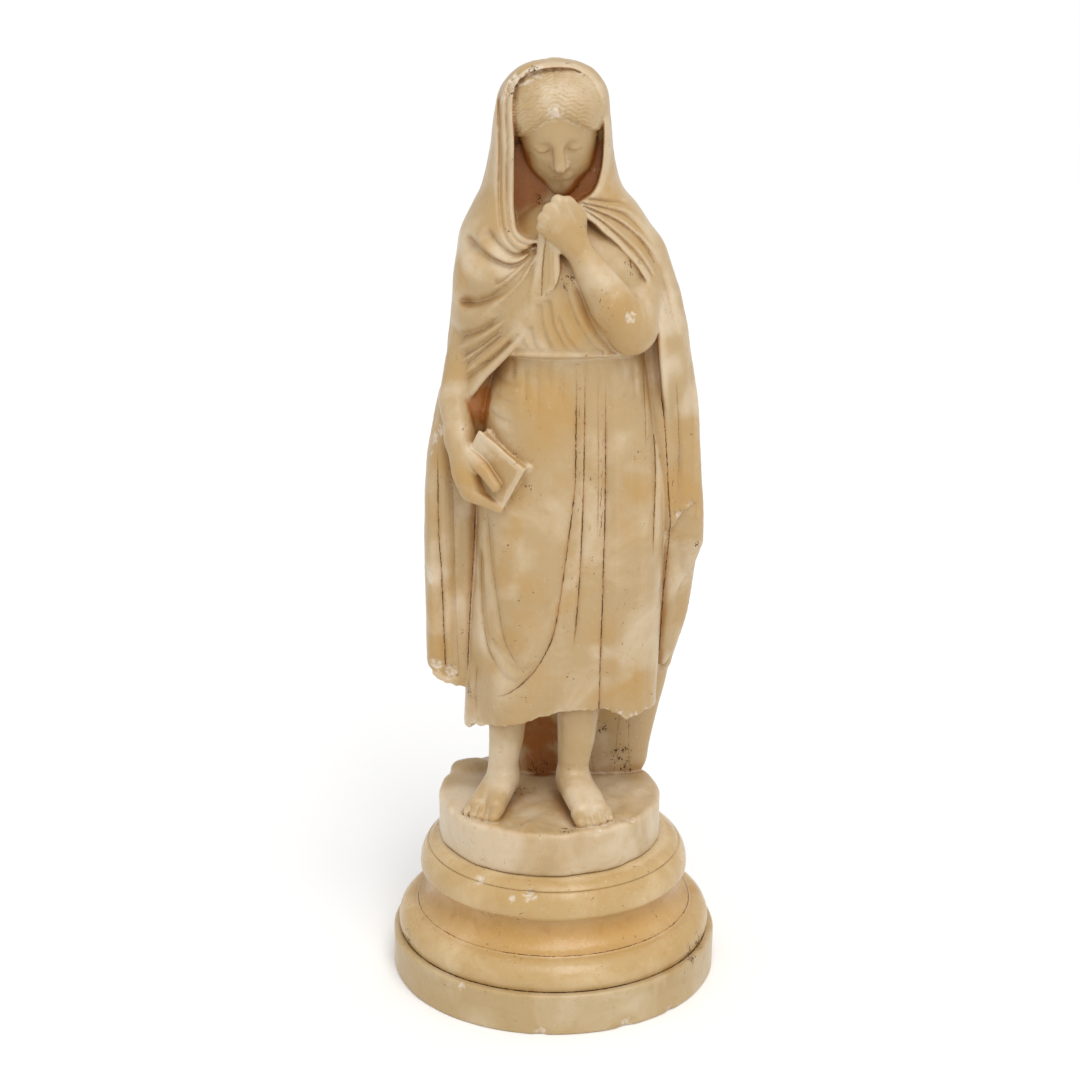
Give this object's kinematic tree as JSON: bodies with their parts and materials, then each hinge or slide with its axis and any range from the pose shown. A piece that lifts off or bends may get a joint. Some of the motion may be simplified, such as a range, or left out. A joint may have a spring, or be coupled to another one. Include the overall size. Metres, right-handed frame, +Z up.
{
  "type": "alabaster statuette",
  "caption": "Veiled standing figure with a small book, carved in alabaster with its round drum, set on a turned socle and a round plinth; a tabletop ornament that stands by its own weight.",
  "frame": {"origin": "middle of the plinth's underside", "axes": "+Z up through the hood, the figure faces -Y, +X to the right of a viewer who faces it"},
  "size_m": [0.146, 0.146, 0.4036],
  "materials": {
    "grey_alabaster": "satin stone, cream grey with faint clouds and brown dirt at the edges",
    "honey_alabaster": "smooth satin stone, honey yellow and slightly translucent",
    "pale_alabaster": "satin stone, warm cream with golden clouds, whitish chips and brown dirt in the creases"
  },
  "bodies": {
    "root": {"plinth_disc": "grey_alabaster", "moulded_socle": "honey_alabaster", "figure": "pale_alabaster"}
  },
  "joints": []
}
